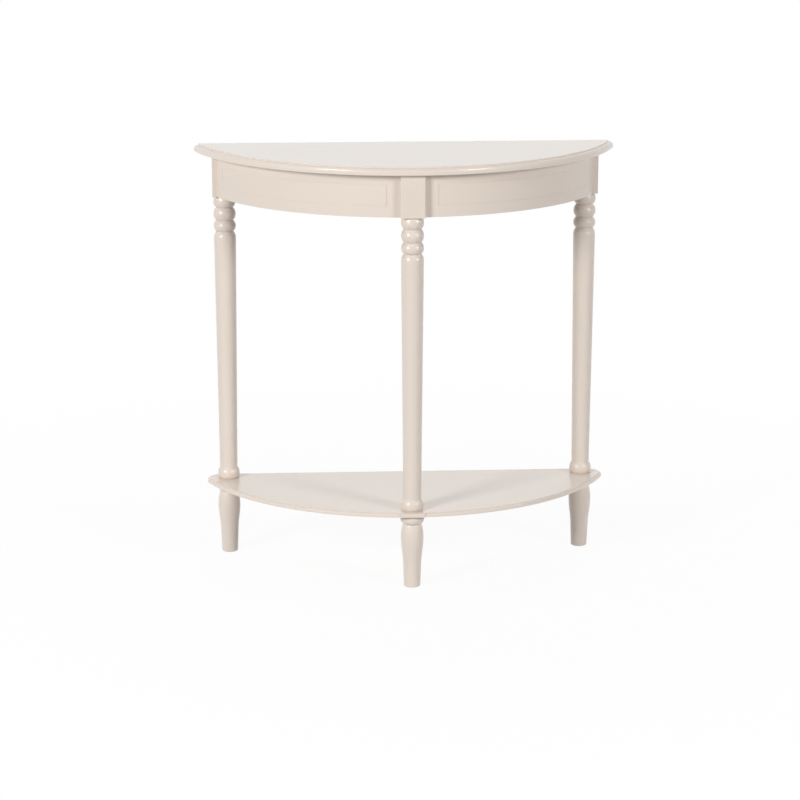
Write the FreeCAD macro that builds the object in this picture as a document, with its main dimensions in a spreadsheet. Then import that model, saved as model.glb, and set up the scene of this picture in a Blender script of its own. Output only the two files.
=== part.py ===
import FreeCAD
import Part
import Sketcher
import math
import os

# A half-round console table: a moulded half-round top on a shallow curved frame, three turned
# legs under square blocks, and a half-round shelf clamped between the legs and their turned feet.
# Millimetres. X runs along the wall, +Y points at the wall and +Z is up. The origin is on the
# floor, under the middle of the top.

SIZES = {
    # The whole table
    "width": 800,
    "depth": 300,
    "height": 800,
    # The top, with a stepped round along its curved edge
    "top_thickness": 15,
    "top_round": 8.5,
    "top_ledge": 0.5,
    "top_step": 2.5,
    "top_lower_bevel": 1,
    # The frame under the top: leg blocks, curved aprons, back rail and braces
    "frame_height": 80,
    "block_side": 45,
    "block_arris": 1.5,
    "block_front_setback": 13,
    "block_back_setback": 4.5,
    "leg_side_inset": 56.5,
    "apron_setback": 23.5,
    "apron_thickness": 18,
    "panel_margin": 20,
    "panel_front_margin": 24,
    "panel_line_width": 1.4,
    "panel_line_depth": 0.6,
    "rail_thickness": 18,
    "rail_setback": 2,
    "brace_thickness": 18,
    "brace_height": 60,
    "corner_brace_thickness": 20,
    "corner_brace_width": 60,
    "corner_brace_nose": 22,
    "corner_brace_gap": 0.3,
    # The turned legs, from the shelf up to the blocks
    "leg_top_edge": 4,
    "bead_diameter": 42.2,
    "neck_diameter": 32.2,
    "top_bead_length": 23.2,
    "top_bead_crown": 11.8,
    "top_bead_drop": 1.6,
    "middle_bead_length": 24.5,
    "lower_bead_length": 21.3,
    "shoulder_length": 12,
    "shaft_upper_diameter": 41.9,
    "shaft_lower_diameter": 33.8,
    "ring_diameter": 42.2,
    "ring_seat_diameter": 36.6,
    "ring_foot_height": 6,
    "ring_barrel_height": 10,
    "ring_shoulder": 16,
    "ring_hollow": 2,
    # The shelf, with the same moulding in a smaller size, and a square pad under the front leg
    "shelf_height": 141.3,
    "shelf_thickness": 8,
    "shelf_front_setback": 8.5,
    "shelf_back_setback": 2,
    "shelf_tip_radius": 27,
    "shelf_round": 4,
    "shelf_ledge": 0.4,
    "shelf_step": 1,
    "pad_projection": 1,
    "pad_root": 12,
    # The turned feet, from the floor up to the shelf
    "foot_collar_diameter": 44.6,
    "foot_collar_edge": 6.5,
    "foot_collar_length": 18.8,
    "foot_collar_straight": 8.5,
    "foot_neck_diameter": 34.5,
    "foot_belly_diameter": 42.6,
    "foot_belly_height": 96,
    "foot_turn_diameter": 38.9,
    "foot_turn_height": 70,
    "foot_ankle_diameter": 34.2,
    "foot_ankle_height": 45,
    "foot_base_diameter": 31.2,
    "foot_rim": 2,
    # The hidden fixings
    "fit_clearance": 0.4,
    "end_gap": 1,
    "dowel_diameter": 8,
    "dowel_length": 30,
    "dowel_in_end": 12,
    "dowel_in_rail_face": 10,
    "dowel_lower_height": 35,
    "dowel_upper_inset": 15,
    "bolt_diameter": 8,
    "bolt_wood_length": 40,
    "bolt_insert_length": 24,
    "insert_diameter": 12,
    "insert_bore": 8.5,
    "insert_length": 25,
    "shelf_hole": 9,
    "screw_diameter": 4,
    "screw_length": 30,
    "screw_head_diameter": 8,
    "screw_head_height": 2.6,
    "screw_hole": 4.6,
    "screw_counterbore": 10,
    "screw_rail_inset": 15.5,
    "screw_apron_inset": 18,
    "screw_first_offset": 27,
    "screw_second_offset": 18.5,
    "brace_screw_inset": 45,
}

doc = FreeCAD.newDocument("ConsoleTable")
sheet = doc.addObject("Spreadsheet::Sheet", "Sizes")
for row, (alias, number) in enumerate(SIZES.items(), start=1):
    sheet.set(f"A{row}", alias)
    sheet.set(f"B{row}", str(number))
    sheet.setAlias(f"B{row}", alias)
doc.recompute()

# Places that several pieces share, worked out from the sizes
EDGE_RADIUS = "(((Sizes.width / 2) ^ 2 + Sizes.depth ^ 2) / (2 * Sizes.depth))"
ARC_CENTRE = f"({EDGE_RADIUS} - Sizes.depth / 2)"
FRAME_TOP = "(Sizes.height - Sizes.top_thickness)"
FRAME_BOTTOM = f"({FRAME_TOP} - Sizes.frame_height)"
SHELF_TOP = "(Sizes.shelf_height + Sizes.shelf_thickness)"
BLOCK_HALF = "(Sizes.block_side / 2)"
FRONT_LEG_Y = f"(Sizes.block_front_setback + {BLOCK_HALF} - Sizes.depth / 2)"
FRONT_BLOCK_BACK = f"({FRONT_LEG_Y} + {BLOCK_HALF})"
BACK_LEG_X = "(Sizes.width / 2 - Sizes.leg_side_inset)"
BACK_LEG_Y = f"(Sizes.depth / 2 - Sizes.block_back_setback - {BLOCK_HALF})"
BACK_BLOCK_INNER = f"({BACK_LEG_X} - {BLOCK_HALF})"
BACK_BLOCK_FRONT = f"({BACK_LEG_Y} - {BLOCK_HALF})"
APRON_OUTER = f"({EDGE_RADIUS} - Sizes.apron_setback)"
APRON_INNER = f"({APRON_OUTER} - Sizes.apron_thickness)"
RAIL_BACK = f"({BACK_LEG_Y} + {BLOCK_HALF} - Sizes.rail_setback)"
RAIL_FRONT = f"({RAIL_BACK} - Sizes.rail_thickness)"
DOWEL_HOLE = "(Sizes.dowel_diameter + Sizes.fit_clearance)"
DOWEL_IN_BLOCK = "(Sizes.dowel_length - Sizes.dowel_in_end)"
DOWEL_IN_BRACE_BACK = "(Sizes.dowel_length - Sizes.dowel_in_rail_face)"
DOWEL_LEVELS = ("Sizes.dowel_lower_height", "(Sizes.frame_height - Sizes.dowel_upper_inset)")
BOLT_HOLE = "(Sizes.bolt_diameter + Sizes.fit_clearance)"
BOLT_HOLE_DEPTH = "(Sizes.bolt_wood_length + Sizes.end_gap)"
INSERT_HOLE = "(Sizes.insert_diameter + Sizes.fit_clearance)"
INSERT_HOLE_DEPTH = "(Sizes.insert_length + Sizes.end_gap)"
SCREW_REACH = "(Sizes.screw_length - Sizes.corner_brace_thickness)"

# The three legs: name, and place of the axis on the floor
LEGS = {
    "front": ("0", FRONT_LEG_Y),
    "left": (f"-{BACK_LEG_X}", BACK_LEG_Y),
    "right": (BACK_LEG_X, BACK_LEG_Y),
}
SIDES = {"left": -1, "right": 1}

# An arc of an outline bulges to one hand or the other of the way along it
LEFT_HAND = 1
RIGHT_HAND = -1

# The sketch plane across each axis, and which way along the axis the plane faces
PLANE_ACROSS = {"X": ("YZ_Plane", 1), "Y": ("XZ_Plane", -1), "Z": ("XY_Plane", 1)}

# How far a cut runs past a surface, the turns of the lathe work in degrees, and a distance or
# a volume too small to count
OVERCUT = "2"
HALF_TURN = "180"
FULL_TURN = "360"
TOUCH = 0.001


def value(expression):
    """The number that an expression of the sizes comes to."""
    return FreeCAD.Units.Quantity(sheet.evalExpression(expression)).Value


def arc_y(radius, x):
    """The Y of the front of a circle about the table's arc centre, at a given X."""
    return f"({ARC_CENTRE} - sqrt({radius} ^ 2 - ({x}) ^ 2))"


def arc_x(radius, y):
    """The X of the right side of a circle about the table's arc centre, at a given Y."""
    return f"sqrt({radius} ^ 2 - ({ARC_CENTRE} - ({y})) ^ 2)"


def bead_radius(length, rise):
    """The radius of an arc that swells by a rise over a length and ends upright."""
    return f"((({length}) ^ 2 + ({rise}) ^ 2) / (2 * ({rise})))"


def set_place(item, x, y, z):
    """Ties an object's place to the sizes."""
    for axis, expression in zip("xyz", (x, y, z)):
        item.setExpression(f"Placement.Base.{axis}", expression)


def new_body(label, x="0", y="0", z="0"):
    body = doc.addObject("PartDesign::Body", label)
    body.Label = label
    set_place(body, x, y, z)
    return body


def new_sketch(body, name, plane, offset="0"):
    """A sketch on one of the body's own planes, moved along that plane's normal."""
    sketch = body.newObject("Sketcher::SketchObject", f"{body.Name}_{name}")
    support = next(item for item in body.Origin.OriginFeatures if item.Role == plane)
    sketch.AttachmentSupport = [(support, "")]
    sketch.MapMode = "FlatFace"
    sketch.setExpression("AttachmentOffset.Base.z", offset)
    return sketch


def bind(sketch, constraint, expression):
    index = sketch.addConstraint(constraint)
    sketch.setExpression(f"Constraints[{index}]", expression)


def fix_point(sketch, edge, point, x, y):
    """Ties a point of an edge to the sizes: point 1 is its start, 2 its end and 3 its centre."""
    bind(sketch, Sketcher.Constraint("DistanceX", -1, 1, edge, point, value(x)), x)
    bind(sketch, Sketcher.Constraint("DistanceY", -1, 1, edge, point, value(y)), y)


def arc_between(start, end, radius, hand):
    """The shorter arc between two points, bulging to one hand of the way between them."""
    chord = end - start
    left = FreeCAD.Vector(-chord.y, chord.x, 0).normalize()
    rise = radius - math.sqrt(radius ** 2 - (chord.Length / 2) ** 2)
    return Part.Arc(start, start + chord / 2 + left * (hand * rise), end)


def draw_outline(sketch, corners):
    """Draws a closed outline. A straight edge leaves a corner (x, y), and an arc leaves a corner
    (x, y, radius, hand)."""
    points = [FreeCAD.Vector(value(corner[0]), value(corner[1]), 0) for corner in corners]
    starts = []
    for index, corner in enumerate(corners):
        start = points[index]
        end = points[(index + 1) % len(points)]
        if len(corner) == 2:
            sketch.addGeometry(Part.LineSegment(start, end), False)
            starts.append(1)
        else:
            radius, hand = corner[2:]
            sketch.addGeometry(arc_between(start, end, value(radius), hand), False)
            starts.append(1 if hand == RIGHT_HAND else 2)
    for index, corner in enumerate(corners):
        following = (index + 1) % len(corners)
        end = 3 - starts[index]
        sketch.addConstraint(
            Sketcher.Constraint("Coincident", index, end, following, starts[following]))
        fix_point(sketch, index, starts[index], corner[0], corner[1])
        if len(corner) > 2:
            bind(sketch, Sketcher.Constraint("Radius", index, value(corner[2])), corner[2])


def pad(body, name, sketch, length):
    feature = body.newObject("PartDesign::Pad", f"{body.Name}_{name}")
    feature.Profile = sketch
    feature.setExpression("Length", length)
    doc.recompute()
    return feature


def check_cut(body, volume_before, name):
    """A cut that points away from the solid takes nothing off, so its volume is compared."""
    if not body.Shape.Volume < volume_before - TOUCH:
        raise RuntimeError(f"{name} cuts nothing from {body.Label}")


def pocket(body, name, sketch, length, backward=False, both_ways=False):
    volume_before = body.Shape.Volume
    feature = body.newObject("PartDesign::Pocket", f"{body.Name}_{name}")
    feature.Profile = sketch
    feature.Reversed = backward
    feature.Midplane = both_ways
    feature.setExpression("Length", length)
    doc.recompute()
    check_cut(body, volume_before, name)
    return feature


def groove(body, name, sketch, angle, both_ways=False, backward=False):
    """A cut turned about the sketch's own upright axis."""
    volume_before = body.Shape.Volume
    feature = body.newObject("PartDesign::Groove", f"{body.Name}_{name}")
    feature.Profile = sketch
    feature.ReferenceAxis = (sketch, ["V_Axis"])
    feature.Midplane = both_ways
    feature.Reversed = backward
    feature.setExpression("Angle", angle)
    doc.recompute()
    check_cut(body, volume_before, name)
    return feature


def turn(body, profile):
    """A solid turned about the body's upright axis from half of its section."""
    sketch = new_sketch(body, "profile", "XZ_Plane")
    draw_outline(sketch, profile)
    feature = body.newObject("PartDesign::Revolution", f"{body.Name}_turning")
    feature.Profile = sketch
    feature.ReferenceAxis = (sketch, ["V_Axis"])
    feature.setExpression("Angle", FULL_TURN)
    doc.recompute()


def drill(body, name, axis, start, centres, diameter, depth, toward):
    """Round holes along an axis from a start on it, toward its plus (1) or minus (-1) end."""
    plane, facing = PLANE_ACROSS[axis]
    sketch = new_sketch(body, f"{name}_circles", plane, f"{facing} * ({start})")
    for index, (across, up) in enumerate(centres):
        centre = FreeCAD.Vector(value(across), value(up), 0)
        sketch.addGeometry(
            Part.Circle(centre, FreeCAD.Vector(0, 0, 1), value(diameter) / 2), False)
        fix_point(sketch, index, 3, across, up)
        bind(sketch, Sketcher.Constraint("Diameter", index, value(diameter)), diameter)
    return pocket(body, name, sketch, depth, backward=toward == facing)


def round_edges(body, name, feature, chosen, radius):
    """Rounds the edges of a feature that a test picks out."""
    edges = feature.Shape.Edges
    names = [f"Edge{index}" for index, edge in enumerate(edges, start=1) if chosen(edge)]
    fillet = body.newObject("PartDesign::Fillet", f"{body.Name}_{name}")
    fillet.Base = (feature, names)
    fillet.setExpression("Radius", radius)
    doc.recompute()
    return fillet


def is_upright(edge):
    box = edge.BoundBox
    return box.ZLength > max(box.XLength, box.YLength)


def edge_moulding(sketch, edge, thickness, rounding, ledge, step, outward):
    """The section that a moulding cutter takes off an edge: a round, then a narrow ledge and a step
    above it. The edge is the distance of the outer face from the sketch's axis, and outward is its
    sign."""
    outer = f"{outward} * ({edge} + {OVERCUT})"
    face = f"{outward} * ({edge})"
    quirk = f"{outward} * ({edge} - {rounding})"
    arris = f"{outward} * ({edge} - {rounding} - {ledge})"
    spring = f"({thickness} - {step} - {rounding})"
    crown = f"({thickness} - {step})"
    above = f"({thickness} + {OVERCUT})"
    hand = LEFT_HAND if outward < 0 else RIGHT_HAND
    draw_outline(sketch, [
        (outer, spring),
        (face, spring, rounding, hand),
        (quirk, crown),
        (arris, crown),
        (arris, above),
        (outer, above),
    ])


def screw_points():
    """Where the screws go up into the top: two in each corner brace and two in the middle brace."""
    points = []
    for side in SIDES.values():
        first_x = f"{side} * ({BACK_BLOCK_INNER} - Sizes.screw_first_offset)"
        second_x = f"{side} * ({BACK_BLOCK_INNER} - Sizes.screw_second_offset)"
        points.append((first_x, f"({RAIL_FRONT} - Sizes.screw_rail_inset)"))
        points.append((second_x, f"({arc_y(APRON_INNER, second_x)} + Sizes.screw_apron_inset)"))
    return points + brace_screw_points()


def brace_screw_points():
    return [
        ("0", f"({FRONT_BLOCK_BACK} + Sizes.brace_screw_inset)"),
        ("0", f"({RAIL_FRONT} - Sizes.brace_screw_inset)"),
    ]


def make_top():
    """The top: a circle's segment, moulded along the arc and square along the wall."""
    body = new_body("table_top", "0", ARC_CENTRE, FRAME_TOP)
    back = f"(Sizes.depth / 2 - {ARC_CENTRE})"
    sketch = new_sketch(body, "plan", "XY_Plane")
    draw_outline(sketch, [
        ("-Sizes.width / 2", back, EDGE_RADIUS, RIGHT_HAND),
        ("Sizes.width / 2", back),
    ])
    pad(body, "board", sketch, "Sizes.top_thickness")
    bevel = new_sketch(body, "lower_bevel_section", "YZ_Plane")
    beyond = f"-({EDGE_RADIUS} + {OVERCUT})"
    draw_outline(bevel, [
        (beyond, f"-{OVERCUT}"),
        (f"-({EDGE_RADIUS} - Sizes.top_lower_bevel - {OVERCUT})", f"-{OVERCUT}"),
        (beyond, f"(Sizes.top_lower_bevel + {OVERCUT})"),
    ])
    groove(body, "lower_bevel", bevel, HALF_TURN, both_ways=True)
    section = new_sketch(body, "moulding_section", "YZ_Plane")
    moulding = ("Sizes.top_thickness", "Sizes.top_round", "Sizes.top_ledge", "Sizes.top_step")
    edge_moulding(section, EDGE_RADIUS, *moulding, -1)
    groove(body, "moulding", section, HALF_TURN, both_ways=True)
    pilots = [(x, f"({y} - {ARC_CENTRE})") for x, y in screw_points()]
    pilot_width = "(Sizes.screw_diameter + Sizes.fit_clearance)"
    pilot_depth = f"({SCREW_REACH} + Sizes.end_gap)"
    drill(body, "screw_pilots", "Z", "0", pilots, pilot_width, pilot_depth, 1)
    return body


def apron_outline(side, outer, inner, front_end, back_end):
    """A stretch of ring between two radii, from an X near the front block to a Y near a back block."""
    return [
        (f"{side} * ({front_end})", arc_y(outer, front_end), outer, side * RIGHT_HAND),
        (f"{side} * {arc_x(outer, back_end)}", back_end),
        (f"{side} * {arc_x(inner, back_end)}", back_end, inner, side * LEFT_HAND),
        (f"{side} * ({front_end})", arc_y(inner, front_end)),
    ]


def apron_back_dowel_x():
    """The X where a straight dowel stays inside the curved apron's back end."""
    tip = f"({BACK_BLOCK_FRONT} - Sizes.dowel_in_end)"
    return f"(({arc_x(APRON_OUTER, tip)} + {arc_x(APRON_INNER, BACK_BLOCK_FRONT)}) / 2)"


def apron_front_dowel_y():
    """The Y where a straight dowel stays inside the curved apron's front end."""
    tip = f"({BLOCK_HALF} + Sizes.dowel_in_end)"
    return f"(({arc_y(APRON_OUTER, tip)} + {arc_y(APRON_INNER, BLOCK_HALF)}) / 2)"


def make_apron(name, side):
    """A curved apron between two leg blocks, with a fine line cut round its face as a panel."""
    body = new_body(f"{name}_apron", "0", "0", FRAME_BOTTOM)
    plan = new_sketch(body, "plan", "XY_Plane")
    draw_outline(plan, apron_outline(side, APRON_OUTER, APRON_INNER, BLOCK_HALF, BACK_BLOCK_FRONT))
    pad(body, "board", plan, "Sizes.frame_height")
    # The panel is sunk by the depth of the line, and its field is then filled up again
    bed = f"({APRON_OUTER} - Sizes.panel_line_depth)"
    outside = f"({APRON_OUTER} + {OVERCUT})"
    front_end = f"({BLOCK_HALF} + Sizes.panel_front_margin)"
    back_end = f"({BACK_BLOCK_FRONT} - Sizes.panel_margin)"
    height = "(Sizes.frame_height - 2 * Sizes.panel_margin)"
    recess = new_sketch(body, "panel_recess_plan", "XY_Plane", "Sizes.panel_margin")
    draw_outline(recess, apron_outline(side, outside, bed, front_end, back_end))
    pocket(body, "panel_recess", recess, height, backward=True)
    line = "Sizes.panel_line_width"
    field = new_sketch(body, "panel_field_plan", "XY_Plane", f"Sizes.panel_margin + {line}")
    draw_outline(field, apron_outline(
        side, APRON_OUTER, bed, f"({front_end} + {line})", f"({back_end} - {line})"))
    pad(body, "panel_field", field, f"{height} - 2 * {line}")
    depth = "(Sizes.dowel_in_end + Sizes.end_gap)"
    front_holes = [(apron_front_dowel_y(), level) for level in DOWEL_LEVELS]
    drill(body, "front_dowel_holes", "X", f"{side} * {BLOCK_HALF}", front_holes, DOWEL_HOLE, depth, side)
    back_holes = [(f"{side} * {apron_back_dowel_x()}", level) for level in DOWEL_LEVELS]
    drill(body, "back_dowel_holes", "Y", BACK_BLOCK_FRONT, back_holes, DOWEL_HOLE, depth, -1)
    return body


def make_block(name):
    """A square leg block. Dowels hold it to the frame, and a threaded insert takes the leg."""
    x, y = LEGS[name]
    body = new_body(f"{name}_leg_block", x, y, FRAME_BOTTOM)
    plan = new_sketch(body, "plan", "XY_Plane")
    draw_outline(plan, [
        (f"-{BLOCK_HALF}", f"-{BLOCK_HALF}"),
        (BLOCK_HALF, f"-{BLOCK_HALF}"),
        (BLOCK_HALF, BLOCK_HALF),
        (f"-{BLOCK_HALF}", BLOCK_HALF),
    ])
    square = pad(body, "square", plan, "Sizes.frame_height")
    round_edges(body, "arrises", square, is_upright, "Sizes.block_arris")
    drill(body, "insert_hole", "Z", "0", [("0", "0")], INSERT_HOLE, INSERT_HOLE_DEPTH, 1)
    depth = f"({DOWEL_IN_BLOCK} + Sizes.end_gap)"
    if name == "front":
        across = f"({apron_front_dowel_y()} - {FRONT_LEG_Y})"
        for label, side in SIDES.items():
            holes = [(across, level) for level in DOWEL_LEVELS]
            start = f"{side} * {BLOCK_HALF}"
            drill(body, f"{label}_apron_holes", "X", start, holes, DOWEL_HOLE, depth, -side)
        # The brace's dowels are shorter in here, so that they stay clear of the aprons' dowels
        holes = [("0", level) for level in DOWEL_LEVELS]
        brace_depth = "(Sizes.dowel_in_end + Sizes.end_gap)"
        drill(body, "brace_holes", "Y", BLOCK_HALF, holes, DOWEL_HOLE, brace_depth, -1)
        return body
    side = SIDES[name]
    across = f"{side} * ({apron_back_dowel_x()} - {BACK_LEG_X})"
    holes = [(across, level) for level in DOWEL_LEVELS]
    drill(body, "apron_holes", "Y", f"-{BLOCK_HALF}", holes, DOWEL_HOLE, depth, 1)
    rail_middle = f"({RAIL_FRONT} + Sizes.rail_thickness / 2 - {BACK_LEG_Y})"
    holes = [(rail_middle, level) for level in DOWEL_LEVELS]
    drill(body, "rail_holes", "X", f"{-side} * {BLOCK_HALF}", holes, DOWEL_HOLE, depth, side)
    return body


def make_back_rail():
    """The straight rail along the wall, between the two back leg blocks."""
    body = new_body("back_rail", "0", "0", FRAME_BOTTOM)
    plan = new_sketch(body, "plan", "XY_Plane")
    draw_outline(plan, [
        (f"-{BACK_BLOCK_INNER}", RAIL_FRONT),
        (BACK_BLOCK_INNER, RAIL_FRONT),
        (BACK_BLOCK_INNER, RAIL_BACK),
        (f"-{BACK_BLOCK_INNER}", RAIL_BACK),
    ])
    pad(body, "board", plan, "Sizes.frame_height")
    middle = f"({RAIL_FRONT} + Sizes.rail_thickness / 2)"
    depth = "(Sizes.dowel_in_end + Sizes.end_gap)"
    for label, side in SIDES.items():
        holes = [(middle, level) for level in DOWEL_LEVELS]
        start = f"{side} * {BACK_BLOCK_INNER}"
        drill(body, f"{label}_dowel_holes", "X", start, holes, DOWEL_HOLE, depth, -side)
    holes = [("0", level) for level in DOWEL_LEVELS]
    face_depth = "(Sizes.dowel_in_rail_face + Sizes.end_gap)"
    drill(body, "brace_dowel_holes", "Y", RAIL_FRONT, holes, DOWEL_HOLE, face_depth, 1)
    return body


def make_middle_brace():
    """The brace from the front leg block back to the rail, screwed up into the top."""
    foot_level = f"({FRAME_TOP} - Sizes.brace_height)"
    body = new_body("middle_brace", "0", "0", foot_level)
    half = "(Sizes.brace_thickness / 2)"
    plan = new_sketch(body, "plan", "XY_Plane")
    draw_outline(plan, [
        (f"-{half}", FRONT_BLOCK_BACK),
        (half, FRONT_BLOCK_BACK),
        (half, RAIL_FRONT),
        (f"-{half}", RAIL_FRONT),
    ])
    pad(body, "board", plan, "Sizes.brace_height")
    drop = "(Sizes.frame_height - Sizes.brace_height)"
    holes = [("0", f"({level} - {drop})") for level in DOWEL_LEVELS]
    front_depth = f"({DOWEL_IN_BLOCK} + Sizes.end_gap)"
    back_depth = f"({DOWEL_IN_BRACE_BACK} + Sizes.end_gap)"
    drill(body, "front_dowel_holes", "Y", FRONT_BLOCK_BACK, holes, DOWEL_HOLE, front_depth, 1)
    drill(body, "back_dowel_holes", "Y", RAIL_FRONT, holes, DOWEL_HOLE, back_depth, -1)
    points = brace_screw_points()
    bore = "(Sizes.brace_height - Sizes.corner_brace_thickness)"
    drill(body, "screw_counterbores", "Z", "0", points, "Sizes.screw_counterbore", bore, 1)
    drill(body, "screw_holes", "Z", "0", points, "Sizes.screw_hole", "Sizes.brace_height", 1)
    return body


def make_corner_brace(name, side):
    """A flat corner brace in the angle of rail, leg block and apron, screwed up into the top."""
    body = new_body(f"{name}_corner_brace", "0", "0", f"({FRAME_TOP} - Sizes.corner_brace_thickness)")
    radius = f"({APRON_INNER} - Sizes.corner_brace_gap)"
    nose = f"({BACK_BLOCK_INNER} - Sizes.corner_brace_nose)"
    plan = new_sketch(body, "plan", "XY_Plane")
    draw_outline(plan, [
        (f"{side} * {BACK_BLOCK_INNER}", RAIL_FRONT),
        (f"{side} * ({BACK_BLOCK_INNER} - Sizes.corner_brace_width)", RAIL_FRONT),
        (f"{side} * {nose}", arc_y(radius, nose), radius, side * RIGHT_HAND),
        (f"{side} * {BACK_BLOCK_INNER}", arc_y(radius, BACK_BLOCK_INNER)),
    ])
    pad(body, "board", plan, "Sizes.corner_brace_thickness")
    mine = [point for point in screw_points() if value(point[0]) * side > TOUCH]
    drill(body, "screw_holes", "Z", "0", mine, "Sizes.screw_hole", "Sizes.corner_brace_thickness", 1)
    return body


def make_leg(name):
    """A turned leg: a ring on the shelf, a tapered shaft and three beads under the block."""
    x, y = LEGS[name]
    body = new_body(f"{name}_leg", x, y, SHELF_TOP)
    length = f"({FRAME_BOTTOM} - {SHELF_TOP})"
    bore = f"({BOLT_HOLE} / 2)"
    bead = "(Sizes.bead_diameter / 2)"
    neck = "(Sizes.neck_diameter / 2)"
    shaft_upper = "(Sizes.shaft_upper_diameter / 2)"
    shaft_lower = "(Sizes.shaft_lower_diameter / 2)"
    ring = "(Sizes.ring_diameter / 2)"
    ring_seat = "(Sizes.ring_seat_diameter / 2)"
    # The ring's shoulder runs into the shaft in a small hollow without a corner between them
    ring_foot_curve = bead_radius("Sizes.ring_foot_height", f"{ring} - {ring_seat}")
    shoulder_centre = f"({ring} - Sizes.ring_shoulder)"
    hollow_across = f"({shaft_lower} + Sizes.ring_hollow - {shoulder_centre})"
    hollow_reach = "(Sizes.ring_shoulder + Sizes.ring_hollow)"
    hollow_rise = f"sqrt({hollow_reach} ^ 2 - {hollow_across} ^ 2)"
    ring_share = f"(Sizes.ring_shoulder / {hollow_reach})"
    ring_meet = f"({shoulder_centre} + {hollow_across} * {ring_share})"
    ring_meet_height = f"(Sizes.ring_barrel_height + {hollow_rise} * {ring_share})"
    ring_top = f"(Sizes.ring_barrel_height + {hollow_rise})"
    upper_neck = f"({length} - Sizes.top_bead_length)"
    middle_neck = f"({upper_neck} - Sizes.middle_bead_length)"
    lower_neck = f"({middle_neck} - Sizes.lower_bead_length)"
    shoulder = f"({lower_neck} - Sizes.shoulder_length)"
    shoulder_curve = bead_radius("Sizes.shoulder_length", f"{shaft_upper} - {neck}")
    swell = f"({bead} - {neck})"
    top_bead_under = "(Sizes.top_bead_length - Sizes.top_bead_crown)"
    # The crown of the top bead is a slow curve, which a small round ends under the block
    edge = "Sizes.leg_top_edge"
    inset = f"(Sizes.top_bead_drop + {edge})"
    leg_top = f"({bead} - {inset})"
    rise = f"(Sizes.top_bead_crown - {edge})"
    crown_curve = f"(({inset} ^ 2 + {rise} ^ 2 - {edge} ^ 2) / (2 * Sizes.top_bead_drop))"
    edge_share = f"({edge} / ({crown_curve} - {edge}))"
    edge_start = f"({leg_top} + ({crown_curve} - {inset}) * {edge_share})"
    edge_height = f"({length} - {edge} + {rise} * {edge_share})"
    turn(body, [
        (bore, "0"),
        (ring_seat, "0", ring_foot_curve, RIGHT_HAND),
        (ring, "Sizes.ring_foot_height"),
        (ring, "Sizes.ring_barrel_height", "Sizes.ring_shoulder", RIGHT_HAND),
        (ring_meet, ring_meet_height, "Sizes.ring_hollow", LEFT_HAND),
        (shaft_lower, ring_top),
        (shaft_upper, shoulder, shoulder_curve, RIGHT_HAND),
        (neck, lower_neck, bead_radius("Sizes.lower_bead_length / 2", swell), RIGHT_HAND),
        (neck, middle_neck, bead_radius("Sizes.middle_bead_length / 2", swell), RIGHT_HAND),
        (neck, upper_neck, bead_radius(top_bead_under, swell), RIGHT_HAND),
        (bead, f"({length} - Sizes.top_bead_crown)", crown_curve, RIGHT_HAND),
        (edge_start, edge_height, edge, RIGHT_HAND),
        (leg_top, length),
        (bore, length),
        (bore, f"({length} - {BOLT_HOLE_DEPTH})"),
        ("0", f"({length} - {BOLT_HOLE_DEPTH})"),
        ("0", BOLT_HOLE_DEPTH),
        (bore, BOLT_HOLE_DEPTH),
    ])
    return body


def make_foot(name):
    """A turned foot: a collar under the shelf, a swelling belly and a slim tapered ankle."""
    x, y = LEGS[name]
    body = new_body(f"{name}_foot", x, y, "0")
    hole = f"({INSERT_HOLE} / 2)"
    hole_floor = f"(Sizes.shelf_height - {INSERT_HOLE_DEPTH})"
    collar = "(Sizes.foot_collar_diameter / 2)"
    neck = "(Sizes.foot_neck_diameter / 2)"
    belly = "(Sizes.foot_belly_diameter / 2)"
    turning = "(Sizes.foot_turn_diameter / 2)"
    ankle = "(Sizes.foot_ankle_diameter / 2)"
    base = "(Sizes.foot_base_diameter / 2)"
    neck_height = "(Sizes.shelf_height - Sizes.foot_collar_length)"
    collar_height = "(Sizes.shelf_height - Sizes.foot_collar_straight)"
    collar_round = "(Sizes.foot_collar_length - Sizes.foot_collar_straight)"
    collar_curve = bead_radius(collar_round, f"{collar} - {neck}")
    edge = "Sizes.foot_collar_edge"
    belly_crown = bead_radius(f"{neck_height} - Sizes.foot_belly_height", f"{belly} - {neck}")
    drop = "(Sizes.foot_belly_height - Sizes.foot_turn_height)"
    belly_curve = bead_radius(drop, f"{belly} - {turning}")
    # The hollow of the ankle leaves the belly without a corner where the two curves meet
    fall = "(Sizes.foot_turn_height - Sizes.foot_ankle_height)"
    narrowing = f"({turning} - {ankle})"
    lean_in = f"(1 - ({belly} - {turning}) / {belly_curve})"
    lean_down = f"({drop} / {belly_curve})"
    bend = f"({fall} * {lean_down} - {narrowing} * {lean_in})"
    ankle_curve = f"(({narrowing} ^ 2 + {fall} ^ 2) / (2 * {bend}))"
    turn(body, [
        ("0", "0"),
        (f"({base} - Sizes.foot_rim)", "0", "Sizes.foot_rim", RIGHT_HAND),
        (base, "Sizes.foot_rim"),
        (ankle, "Sizes.foot_ankle_height", ankle_curve, LEFT_HAND),
        (turning, "Sizes.foot_turn_height", belly_curve, RIGHT_HAND),
        (belly, "Sizes.foot_belly_height", belly_crown, RIGHT_HAND),
        (neck, neck_height, collar_curve, RIGHT_HAND),
        (collar, collar_height),
        (collar, f"(Sizes.shelf_height - {edge})", edge, RIGHT_HAND),
        (f"({collar} - {edge})", "Sizes.shelf_height"),
        (hole, "Sizes.shelf_height"),
        (hole, hole_floor),
        ("0", hole_floor),
    ])
    return body


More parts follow.
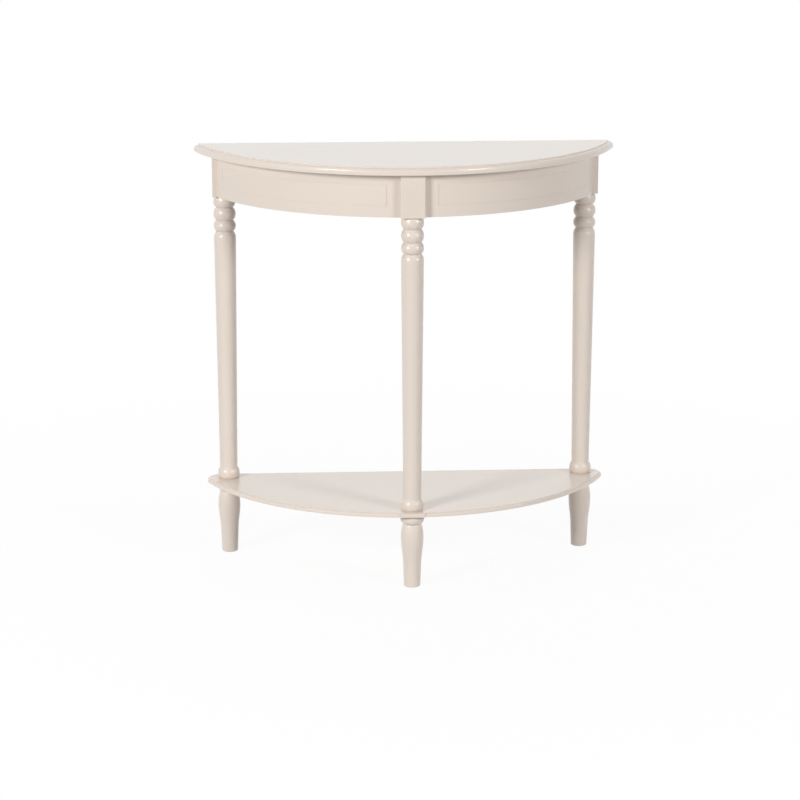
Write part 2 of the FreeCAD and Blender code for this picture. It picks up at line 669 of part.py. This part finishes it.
def make_shelf():
    """The shelf: the top's own arc set back, with round tips, moulded all round its upper edge. The
    moulding stops at a square pad that carries the front leg."""
    centre = f"({ARC_CENTRE} + Sizes.shelf_front_setback)"
    body = new_body("shelf", "0", centre, "Sizes.shelf_height")
    back = f"(Sizes.depth / 2 - Sizes.shelf_back_setback - {centre})"
    # Each tip is a round between the front arc and the straight back edge
    tip_y = f"({back} - Sizes.shelf_tip_radius)"
    tip_reach = f"({EDGE_RADIUS} - Sizes.shelf_tip_radius)"
    tip_x = f"sqrt({tip_reach} ^ 2 - {tip_y} ^ 2)"
    meet_x = f"({tip_x} * {EDGE_RADIUS} / {tip_reach})"
    meet_y = f"({tip_y} * {EDGE_RADIUS} / {tip_reach})"
    plan = new_sketch(body, "plan", "XY_Plane")
    draw_outline(plan, [
        (f"-{meet_x}", meet_y, EDGE_RADIUS, RIGHT_HAND),
        (meet_x, meet_y, "Sizes.shelf_tip_radius", RIGHT_HAND),
        (tip_x, back),
        (f"-{tip_x}", back, "Sizes.shelf_tip_radius", RIGHT_HAND),
    ])
    pad(body, "board", plan, "Sizes.shelf_thickness")
    moulding = ("Sizes.shelf_thickness", "Sizes.shelf_round", "Sizes.shelf_ledge", "Sizes.shelf_step")
    front = new_sketch(body, "front_moulding_section", "YZ_Plane")
    edge_moulding(front, EDGE_RADIUS, *moulding, -1)
    groove(body, "front_moulding", front, HALF_TURN, both_ways=True)
    rear = new_sketch(body, "back_moulding_section", "YZ_Plane")
    rear.setExpression("AttachmentOffset.Base.x", tip_y)
    edge_moulding(rear, "Sizes.shelf_tip_radius", *moulding, 1)
    pocket(body, "back_moulding", rear, f"2 * {tip_x}", both_ways=True)
    sweep = f"({HALF_TURN} / 2 - atan({tip_y} / {tip_x}) / 1 deg)"
    for name, side in SIDES.items():
        tip = new_sketch(body, f"{name}_tip_section", "YZ_Plane", f"{side} * {tip_x}")
        tip.setExpression("AttachmentOffset.Base.x", tip_y)
        edge_moulding(tip, "Sizes.shelf_tip_radius", *moulding, 1)
        groove(body, f"{name}_tip_moulding", tip, sweep, backward=side > 0)
    # The cutter leaves a hollow at each side of the pad where it was stopped
    pad_front = f"-({EDGE_RADIUS} + Sizes.pad_projection)"
    stop = "(Sizes.shelf_round + Sizes.shelf_ledge + Sizes.pad_projection)"
    arris = f"({pad_front} + {stop})"
    root = f"({arris} + Sizes.pad_root)"
    wing = f"({BLOCK_HALF} + {stop})"
    pad_plan = new_sketch(body, "pad_plan", "XY_Plane")
    draw_outline(pad_plan, [
        (f"-{BLOCK_HALF}", pad_front),
        (BLOCK_HALF, pad_front, stop, LEFT_HAND),
        (wing, arris),
        (wing, root),
        (f"-{wing}", root),
        (f"-{wing}", arris, stop, LEFT_HAND),
    ])
    pad(body, "front_pad", pad_plan, "Sizes.shelf_thickness")
    holes = [(x, f"({y} - {centre})") for x, y in LEGS.values()]
    drill(body, "bolt_holes", "Z", "0", holes, "Sizes.shelf_hole", "Sizes.shelf_thickness", 1)
    return body


def rod(name, x, y, z, diameter, length, direction):
    """A round rod from a point along a direction."""
    item = doc.addObject("Part::Cylinder", name)
    item.Placement = FreeCAD.Placement(
        FreeCAD.Vector(), FreeCAD.Rotation(FreeCAD.Vector(0, 0, 1), direction))
    set_place(item, x, y, z)
    item.setExpression("Radius", f"({diameter}) / 2")
    item.setExpression("Height", length)
    return item


def gather(label, items):
    """One node of several separate solids."""
    group = doc.addObject("Part::Compound", label)
    group.Label = label
    group.Links = items
    return group


def make_dowels():
    """The dowels that join aprons, rail and middle brace to the blocks and to each other."""
    along_x = FreeCAD.Vector(1, 0, 0)
    along_y = FreeCAD.Vector(0, 1, 0)
    size = ("Sizes.dowel_diameter", "Sizes.dowel_length")
    rail_middle = f"({RAIL_FRONT} + Sizes.rail_thickness / 2)"
    items = []
    for level in DOWEL_LEVELS:
        z = f"({FRAME_BOTTOM} + {level})"
        for side in SIDES.values():
            front_x = f"{side} * ({BLOCK_HALF} - {DOWEL_IN_BLOCK})"
            items.append(rod("apron_front_dowel", front_x, apron_front_dowel_y(), z, *size, along_x * side))
            back_x = f"{side} * {apron_back_dowel_x()}"
            back_y = f"({BACK_BLOCK_FRONT} - Sizes.dowel_in_end)"
            items.append(rod("apron_back_dowel", back_x, back_y, z, *size, along_y))
            rail_x = f"{side} * ({BACK_BLOCK_INNER} - Sizes.dowel_in_end)"
            items.append(rod("rail_dowel", rail_x, rail_middle, z, *size, along_x * side))
        front_y = f"({FRONT_BLOCK_BACK} - Sizes.dowel_in_end)"
        items.append(rod("brace_front_dowel", "0", front_y, z, *size, along_y))
        back_y = f"({RAIL_FRONT} - {DOWEL_IN_BRACE_BACK})"
        items.append(rod("brace_back_dowel", "0", back_y, z, *size, along_y))
    return gather("wood_dowels", items)


def make_leg_bolts():
    """Hanger bolts: the wood thread is in the top of a leg, the other end in the block's insert."""
    start = f"({FRAME_BOTTOM} - Sizes.bolt_wood_length)"
    length = "Sizes.bolt_wood_length + Sizes.bolt_insert_length"
    up = FreeCAD.Vector(0, 0, 1)
    items = [rod(f"{name}_leg_bolt", x, y, start, "Sizes.bolt_diameter", length, up)
             for name, (x, y) in LEGS.items()]
    return gather("leg_hanger_bolts", items)


def make_shelf_bolts():
    """Hanger bolts from the foot of a leg down through the shelf into the insert of a foot."""
    start = "(Sizes.shelf_height - Sizes.bolt_insert_length)"
    length = "Sizes.bolt_wood_length + Sizes.shelf_thickness + Sizes.bolt_insert_length"
    up = FreeCAD.Vector(0, 0, 1)
    items = [rod(f"{name}_shelf_bolt", x, y, start, "Sizes.bolt_diameter", length, up)
             for name, (x, y) in LEGS.items()]
    return gather("shelf_hanger_bolts", items)


def make_inserts():
    """The threaded inserts in the leg blocks and in the feet, as plain sleeves."""
    up = FreeCAD.Vector(0, 0, 1)
    levels = {"block": FRAME_BOTTOM, "foot": "(Sizes.shelf_height - Sizes.insert_length)"}
    items = []
    for place, z in levels.items():
        for name, (x, y) in LEGS.items():
            sleeve = doc.addObject("Part::Cut", f"{name}_{place}_insert")
            sleeve.Base = rod("insert_body", x, y, z, "Sizes.insert_diameter", "Sizes.insert_length", up)
            sleeve.Tool = rod("insert_thread", x, y, z, "Sizes.insert_bore", "Sizes.insert_length", up)
            items.append(sleeve)
    return gather("threaded_inserts", items)


def make_screws():
    """The screws that hold the top, with flat round heads under the braces."""
    up = FreeCAD.Vector(0, 0, 1)
    seat = f"({FRAME_TOP} - Sizes.corner_brace_thickness)"
    head_level = f"({seat} - Sizes.screw_head_height)"
    head = ("Sizes.screw_head_diameter", "Sizes.screw_head_height")
    shank = ("Sizes.screw_diameter", "Sizes.screw_length")
    items = []
    for x, y in screw_points():
        screw = doc.addObject("Part::Fuse", "top_screw")
        screw.Base = rod("screw_head", x, y, head_level, *head, up)
        screw.Tool = rod("screw_shank", x, y, seat, *shank, up)
        items.append(screw)
    return gather("top_screws", items)


def make_pieces():
    pieces = [make_top(), make_back_rail(), make_middle_brace(), make_shelf()]
    for name, side in SIDES.items():
        pieces.append(make_apron(name, side))
        pieces.append(make_corner_brace(name, side))
    for name in LEGS:
        pieces.append(make_block(name))
        pieces.append(make_leg(name))
        pieces.append(make_foot(name))
    pieces.append(make_dowels())
    pieces.append(make_leg_bolts())
    pieces.append(make_shelf_bolts())
    pieces.append(make_inserts())
    pieces.append(make_screws())
    return pieces


def check_and_write(pieces):
    """Refuses a failed object or an empty or invalid shape, then writes each piece."""
    for item in doc.Objects:
        if {"Invalid", "Error"} & set(item.State):
            raise RuntimeError(f"{item.Name} failed: {item.State}")
    for piece in pieces:
        if piece.Shape.isNull() or not piece.Shape.isValid():
            raise RuntimeError(f"{piece.Label} has no valid shape")
    os.makedirs("parts", exist_ok=True)
    for piece in pieces:
        piece.Shape.exportStep(f"parts/{piece.Label}.step")
        print(f"{piece.Label}: {len(piece.Shape.Solids)} solid(s), {piece.Shape.Volume / 1000:.1f} cm3")


all_pieces = make_pieces()
doc.recompute()
check_and_write(all_pieces)
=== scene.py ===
import math

import bpy
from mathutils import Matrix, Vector

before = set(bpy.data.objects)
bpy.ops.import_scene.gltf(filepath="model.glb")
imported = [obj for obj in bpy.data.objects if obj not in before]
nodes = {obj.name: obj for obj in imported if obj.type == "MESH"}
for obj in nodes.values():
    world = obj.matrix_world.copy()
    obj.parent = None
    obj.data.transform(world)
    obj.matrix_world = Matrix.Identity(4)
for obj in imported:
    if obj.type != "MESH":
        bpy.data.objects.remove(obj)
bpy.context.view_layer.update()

# Pieces by their finish
BOARDS = ("table_top", "shelf")
TURNED = ("front_leg", "left_leg", "right_leg", "front_foot", "left_foot", "right_foot")
BLOCKS = ("front_leg_block", "left_leg_block", "right_leg_block")
RAILS = ("left_apron", "right_apron", "back_rail")
WOOD_ALONG_DEPTH = ("middle_brace",)
WOOD_ALONG_WIDTH = ("left_corner_brace", "right_corner_brace", "wood_dowels")
FIXINGS = ("top_screws", "threaded_inserts", "leg_hanger_bolts", "shelf_hanger_bolts")

# Linear colours of the finishes
WHITE = (1.0, 1.0, 1.0)
PAINT = (0.767, 0.676, 0.598)
BEECH_LIGHT = (0.66, 0.47, 0.29)
BEECH_DARK = (0.50, 0.32, 0.17)
ZINC = (0.58, 0.58, 0.56)
ZINC_DULL = (0.44, 0.44, 0.42)

# Paint: noise scales in waves per metre, shares of tone and gloss, and heights in metres
CLOUD_SCALE = 7.0
CLOUD_TONE = 0.006
SPECK_SCALE = 420.0
SPECK_TONE = 0.004
GLOSS_SCALE = 26.0
PAINT_ROUGHNESS = 0.31
PAINT_ROUGHNESS_SPREAD = 0.02
PAINT_IOR = 1.5
SKIN_SCALE = 350.0
SKIN_HEIGHT = 0.000001
PAINTED_GRAIN_HEIGHT = 0.000004
COAT_ROUGHNESS = 0.14
BOARD_COAT = 0.85
TURNED_COAT = 0.25
RAIL_COAT = 0.35

# Grain: waves per metre along X, Y and Z
GRAIN_UP = (260.0, 260.0, 9.0)
GRAIN_ACROSS = (9.0, 220.0, 260.0)
GRAIN_BACK = (220.0, 9.0, 260.0)

# Bare wood: flecks finer than the grain, where their noise is high, and gloss and relief of the lines
FLECK_FINENESS = 4.0
FLECK_START = 0.58
FLECK_END = 0.72
FLECK_SHARE = 0.35
FLECK_TONE = 0.7
WOOD_ROUGHNESS_DARK = 0.62
WOOD_ROUGHNESS_LIGHT = 0.5
WOOD_RELIEF = 0.12
WOOD_HEIGHT = 0.0006

# Zinc plate: noise scales in waves per metre, gloss and relief of the scratches
ZINC_CLOUD_SCALE = 160.0
ZINC_GLOSS_SCALE = 90.0
ZINC_ROUGHNESS_LOW = 0.28
ZINC_ROUGHNESS_HIGH = 0.46
SCRATCHES = (1800.0, 1800.0, 200.0)
SCRATCH_RELIEF = 0.15
SCRATCH_HEIGHT = 0.0002

# Camera: place in metres, angles in degrees, focal length in pixels of an 800 pixel frame
CAMERA_PLACE = (-0.282, -4.866, 1.598)
CAMERA_YAW = 3.122
CAMERA_PITCH = 14.575
FOCAL_PIXELS = 2660.0
FRAME_PIXELS = 800.0
SENSOR_MM = 36.0
CAMERA_REACH = 200.0

# Light: radiance of the sky on the object, and irradiance over pi of each soft lamp at its target
SKY_LEVEL = 0.28
LAMP_TARGET = (0.0, 0.0, 0.6)
LAMPS = {
    "left_softbox": {"azimuth": -47.0, "elevation": 18.0, "distance": 4.2,
                     "wide": 1.05, "tall": 1.05, "level": 0.64},
    "right_softbox": {"azimuth": 47.0, "elevation": 18.0, "distance": 4.2,
                      "wide": 0.95, "tall": 0.95, "level": 0.38},
    "back_fill": {"azimuth": 180.0, "elevation": 48.0, "distance": 3.6,
                  "wide": 4.0, "tall": 2.0, "level": 0.30},
}

# Reflections of the two front lamps, each with its share of the lamp's level and the pieces that show it
MOULDED = ("table_top",)
GLINTS = {
    "left_glint": {"lamp": "left_softbox", "elevation": 18.0, "share": 0.85, "pieces": TURNED},
    "right_glint": {"lamp": "right_softbox", "elevation": 18.0, "share": 0.85, "pieces": TURNED},
    "left_edge_glint": {"lamp": "left_softbox", "elevation": 48.0, "share": 0.3, "pieces": MOULDED},
    "right_edge_glint": {"lamp": "right_softbox", "elevation": 48.0, "share": 0.38, "pieces": MOULDED},
}

# Floor: size and reaches in metres, share of the light it gives back, and its own white near the table
FLOOR_RADIUS = 60.0
FLOOR_SIDES = 96
NEAR_REACH = 0.5
FAR_REACH = 1.7
NEAR_ALBEDO = 0.7
FAR_ALBEDO = 0.3
NEAR_GLOW = 0.93

# Sockets of the colour mix node, by number because several share a name
MIX_FACTOR = 0
MIX_FIRST = 6
MIX_SECOND = 7
MIX_RESULT = 2


def scaled(colour, factor=1.0):
    """A colour made lighter or darker, as four numbers."""
    return tuple(min(1.0, part * factor) for part in colour) + (1.0,)


class Tree:
    """The nodes of a material or a world, added and joined in short lines."""

    def __init__(self, owner, output="ShaderNodeOutputMaterial"):
        self.owner = owner
        owner.use_nodes = True
        self.nodes = owner.node_tree.nodes
        self.links = owner.node_tree.links
        self.nodes.clear()
        self.output = self.nodes.new(output)

    def add(self, kind, inputs=None, **settings):
        """A node with its settings, and with values or links on its inputs."""
        node = self.nodes.new(kind)
        for key, setting in settings.items():
            setattr(node, key, setting)
        for key, given in (inputs or {}).items():
            socket = node.inputs[key]
            if isinstance(given, bpy.types.NodeSocket):
                self.links.new(given, socket)
            else:
                socket.default_value = given
        return node

    def place(self, stretch=(1.0, 1.0, 1.0)):
        """Position in the object's frame, stretched along its axes."""
        where = self.add("ShaderNodeTexCoord")
        mapping = self.add("ShaderNodeMapping", {"Vector": where.outputs["Object"], "Scale": stretch})
        return mapping.outputs["Vector"]

    def noise(self, scale, detail=2.0, stretch=(1.0, 1.0, 1.0), rough=0.5):
        made = self.add("ShaderNodeTexNoise", {
            "Vector": self.place(stretch), "Scale": scale, "Detail": detail, "Roughness": rough})
        return made.outputs["Fac"]

    def spread(self, value, low, high, start=0.3, end=0.7):
        """A value between start and end, brought to the range low to high."""
        made = self.add("ShaderNodeMapRange", {
            "Value": value, "From Min": start, "From Max": end, "To Min": low, "To Max": high})
        return made.outputs["Result"]

    def blend(self, factor, first, second, how="MIX"):
        made = self.add(
            "ShaderNodeMix", {MIX_FACTOR: factor, MIX_FIRST: first, MIX_SECOND: second},
            data_type="RGBA", blend_type=how)
        return made.outputs[MIX_RESULT]

    def bump(self, height, strength, distance, under=None):
        inputs = {"Height": height, "Strength": strength, "Distance": distance}
        if under is not None:
            inputs["Normal"] = under
        return self.add("ShaderNodeBump", inputs).outputs["Normal"]

    def combine(self, how, first, second):
        return self.add("ShaderNodeMath", {0: first, 1: second}, operation=how).outputs[0]

    def seen(self):
        """1 for what is seen straight, mirrored or through glass, and 0 for what lights a surface."""
        path = self.add("ShaderNodeLightPath").outputs
        direct = self.combine("MAXIMUM", path["Is Camera Ray"], path["Is Glossy Ray"])
        return self.combine("MAXIMUM", direct, path["Is Transmission Ray"])

    def join_output(self, shader):
        """Join the shader to the output."""
        self.links.new(shader.outputs[0], self.output.inputs["Surface"])
        return self.owner

    def surface(self, **inputs):
        """The main shader, joined to the output."""
        named = {key.replace("_", " "): given for key, given in inputs.items()}
        return self.join_output(self.add("ShaderNodeBsdfPrincipled", named))


def new_material(name):
    return Tree(bpy.data.materials.new(name))


def paint(name, grain, coat):
    """Sprayed satin paint: soft clouds of tone, a fine orange peel, and faint grain along the wood."""
    tree = new_material(name)
    clouds = tree.spread(tree.noise(CLOUD_SCALE, 3.0), 0.0, 1.0)
    specks = tree.spread(tree.noise(SPECK_SCALE), 0.0, 1.0)
    colour = tree.blend(clouds, scaled(PAINT, 1.0 - CLOUD_TONE), scaled(PAINT, 1.0 + CLOUD_TONE))
    speckled = tree.blend(specks, scaled(WHITE, 1.0 - SPECK_TONE), scaled(WHITE))
    colour = tree.blend(1.0, colour, speckled, "MULTIPLY")
    gloss = tree.spread(
        tree.noise(GLOSS_SCALE, 3.0),
        PAINT_ROUGHNESS - PAINT_ROUGHNESS_SPREAD, PAINT_ROUGHNESS + PAINT_ROUGHNESS_SPREAD)
    skin = tree.bump(tree.noise(SKIN_SCALE), 1.0, SKIN_HEIGHT)
    if grain is not None:
        skin = tree.bump(tree.noise(1.0, 3.0, grain, 0.6), 1.0, PAINTED_GRAIN_HEIGHT, skin)
    return tree.surface(
        Base_Color=colour, Roughness=gloss, Normal=skin, IOR=PAINT_IOR,
        Coat_Weight=coat, Coat_Roughness=COAT_ROUGHNESS, Coat_IOR=PAINT_IOR)


def bare_wood(name, grain):
    """Planed beech: long growth lines and short dark flecks."""
    tree = new_material(name)
    lines = tree.spread(tree.noise(1.0, 5.0, grain, 0.65), 0.0, 1.0)
    fine = tuple(FLECK_FINENESS * part for part in grain)
    flecks = tree.spread(tree.noise(1.0, 2.0, fine), 0.0, FLECK_SHARE, FLECK_START, FLECK_END)
    colour = tree.blend(lines, scaled(BEECH_DARK), scaled(BEECH_LIGHT))
    colour = tree.blend(flecks, colour, scaled(BEECH_DARK, FLECK_TONE))
    gloss = tree.spread(lines, WOOD_ROUGHNESS_DARK, WOOD_ROUGHNESS_LIGHT, 0.0, 1.0)
    normal = tree.bump(lines, WOOD_RELIEF, WOOD_HEIGHT)
    return tree.surface(Base_Color=colour, Roughness=gloss, Normal=normal)


def zinc(name):
    """Zinc plate: cloudy grey metal with fine scratches."""
    tree = new_material(name)
    clouds = tree.spread(tree.noise(ZINC_CLOUD_SCALE, 4.0), 0.0, 1.0)
    colour = tree.blend(clouds, scaled(ZINC_DULL), scaled(ZINC))
    gloss = tree.spread(tree.noise(ZINC_GLOSS_SCALE, 3.0), ZINC_ROUGHNESS_LOW, ZINC_ROUGHNESS_HIGH)
    normal = tree.bump(tree.noise(1.0, 2.0, SCRATCHES), SCRATCH_RELIEF, SCRATCH_HEIGHT)
    return tree.surface(Base_Color=colour, Roughness=gloss, Normal=normal, Metallic=1.0)


def floor_white():
    """Pale floor: white to the eye and in reflections, with a part near the table that takes its shadow."""
    tree = new_material("floor_white")
    seen = tree.seen()
    away = tree.add("ShaderNodeVectorMath", {0: tree.place()}, operation="LENGTH").outputs["Value"]
    white = tree.spread(away, NEAR_GLOW, 1.0, NEAR_REACH, FAR_REACH)
    bounce = tree.spread(away, NEAR_ALBEDO, FAR_ALBEDO, NEAR_REACH, FAR_REACH)
    tone = tree.spread(seen, bounce, 1.0, 0.0, 1.0)
    chalk = tree.add("ShaderNodeBsdfDiffuse", {"Color": tone})
    glow = tree.add("ShaderNodeEmission", {"Color": scaled(WHITE), "Strength": 1.0})
    share = tree.combine("MULTIPLY", seen, white)
    return tree.join_output(tree.add("ShaderNodeMixShader", {
        0: share, 1: chalk.outputs["BSDF"], 2: glow.outputs["Emission"]}))


def make_floor():
    bpy.ops.mesh.primitive_circle_add(
        vertices=FLOOR_SIDES, radius=FLOOR_RADIUS, fill_type="NGON", location=(0, 0, 0))
    floor = bpy.context.object
    floor.name = "studio_floor"
    floor.data.materials.append(floor_white())


def make_world():
    """White to the eye and in reflections, softer as a light on the object."""
    world = bpy.data.worlds.new("studio_sky")
    bpy.context.scene.world = world
    tree = Tree(world, "ShaderNodeOutputWorld")
    level = tree.spread(tree.seen(), SKY_LEVEL, 1.0, 0.0, 1.0)
    tree.join_output(tree.add("ShaderNodeBackground", {"Color": scaled(WHITE), "Strength": level}))


def make_lamp(name, azimuth, elevation, distance, wide, tall, level):
    """A soft lamp aimed at the table, not mirrored; azimuth is measured from the front, to the right."""
    around, up = math.radians(azimuth), math.radians(elevation)
    away = Vector((math.sin(around) * math.cos(up), -math.cos(around) * math.cos(up), math.sin(up)))
    lamp = bpy.data.lights.new(name, "AREA")
    lamp.shape = "RECTANGLE"
    lamp.size = wide
    lamp.size_y = tall
    lamp.energy = level * (math.pi * distance) ** 2
    stand = bpy.data.objects.new(name, lamp)
    bpy.context.scene.collection.objects.link(stand)
    stand.location = Vector(LAMP_TARGET) + distance * away
    stand.rotation_euler = away.to_track_quat("Z", "Y").to_euler()
    stand.visible_glossy = False
    return stand


def make_glint(name, lamp, elevation, share, pieces):
    """The reflection of a soft lamp, which lights nothing and shows on the given pieces alone."""
    facts = dict(LAMPS[lamp], elevation=elevation)
    facts["level"] *= share
    stand = make_lamp(name, **facts)
    stand.visible_glossy = True
    stand.visible_diffuse = False
    receivers = bpy.data.collections.new(f"{name}_pieces")
    for piece in pieces:
        receivers.objects.link(nodes[piece])
    stand.light_linking.receiver_collection = receivers


def make_camera():
    lens = bpy.data.cameras.new("photo_camera")
    lens.sensor_width = SENSOR_MM
    lens.lens = FOCAL_PIXELS / FRAME_PIXELS * SENSOR_MM
    lens.clip_end = CAMERA_REACH
    camera = bpy.data.objects.new("photo_camera", lens)
    bpy.context.scene.collection.objects.link(camera)
    camera.location = CAMERA_PLACE
    camera.rotation_euler = (math.radians(90.0 - CAMERA_PITCH), 0.0, math.radians(-CAMERA_YAW))
    bpy.context.scene.camera = camera


def dress(names, material):
    """Give the named nodes one material."""
    for name in names:
        mesh = nodes[name].data
        mesh.materials.clear()
        mesh.materials.append(material)


dress(BOARDS, paint("paint_on_board", None, BOARD_COAT))
dress(TURNED + BLOCKS, paint("paint_on_turned_wood", GRAIN_UP, TURNED_COAT))
dress(RAILS, paint("paint_on_rails", GRAIN_ACROSS, RAIL_COAT))
dress(WOOD_ALONG_DEPTH, bare_wood("beech_along_depth", GRAIN_BACK))
dress(WOOD_ALONG_WIDTH, bare_wood("beech_along_width", GRAIN_ACROSS))
dress(FIXINGS, zinc("zinc_plate"))

make_floor()
make_world()
for lamp_name, lamp_facts in LAMPS.items():
    make_lamp(lamp_name, **lamp_facts)
for glint_name, glint_facts in GLINTS.items():
    make_glint(glint_name, **glint_facts)
make_camera()

bpy.context.scene.view_settings.view_transform = "Standard"
